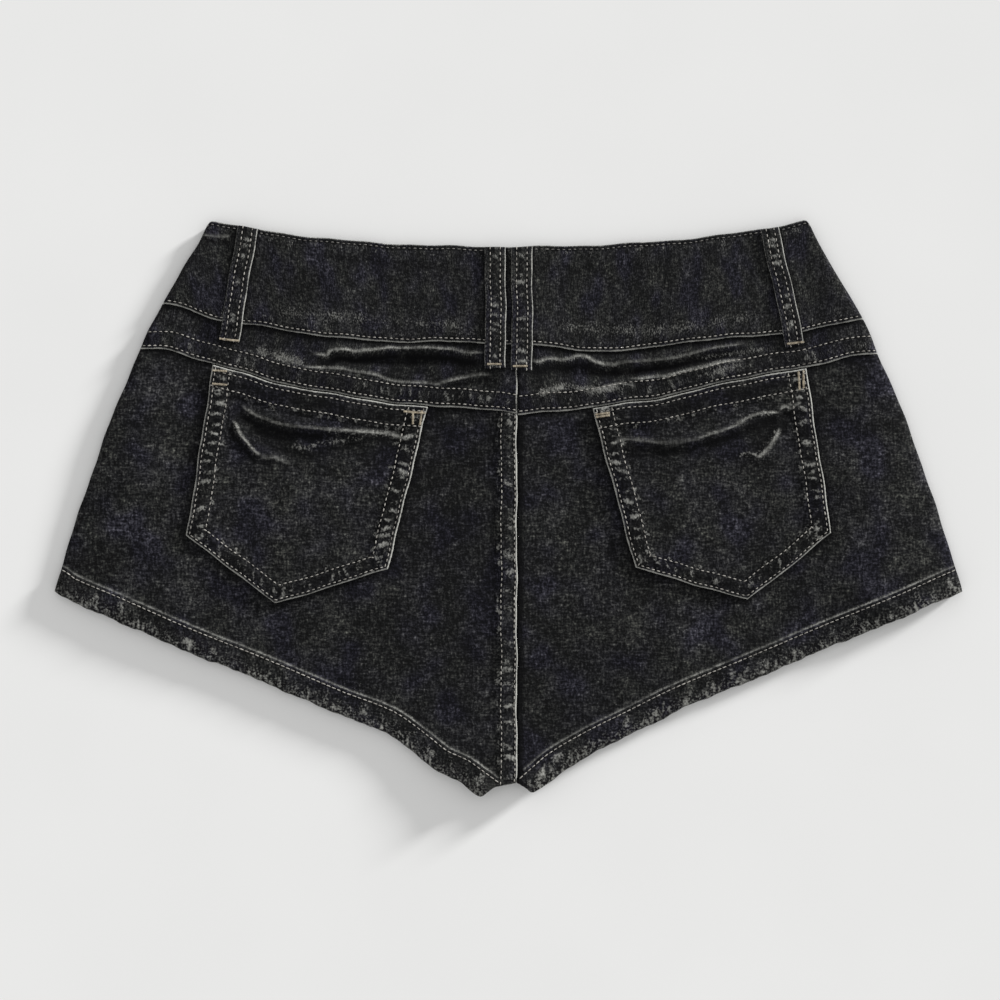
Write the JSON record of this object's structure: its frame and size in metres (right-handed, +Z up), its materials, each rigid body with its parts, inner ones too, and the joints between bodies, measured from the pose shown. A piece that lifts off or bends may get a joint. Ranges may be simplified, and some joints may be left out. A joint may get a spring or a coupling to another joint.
{
  "type": "denim shorts laid flat",
  "caption": "Low-rise hot shorts in washed black stretch denim, laid flat with the back up: wide waistband, belt loops, yoke, patch pockets and turned hems.",
  "frame": {"origin": "middle of the outline as seen from above, on the surface that the shorts lie on", "axes": "+X to the right of someone looking down on the back, which is the wearer's right; +Y towards the waist; +Z up, away from the surface"},
  "size_m": [0.545, 0.3443, 0.0102],
  "materials": {
    "denim": "washed black twill, matte",
    "button_metal": "dark antique"
  },
  "bodies": {
    "root": {"back_waistband": "denim", "back_yoke_left": "denim", "back_yoke_right": "denim", "back_panel_left": "denim", "back_panel_right": "denim", "back_pocket_left": "denim", "back_pocket_right": "denim", "belt_loop_left": "denim", "belt_loop_centre_left": "denim", "belt_loop_centre_right": "denim", "belt_loop_right": "denim", "front_waistband_left": "denim", "front_waistband_right": "denim", "front_belt_loop_left": "denim", "front_belt_loop_right": "denim", "front_panel_left": "denim", "front_panel_right": "denim", "fly_shield": "denim", "waist_button": "button_metal"}
  },
  "joints": []
}
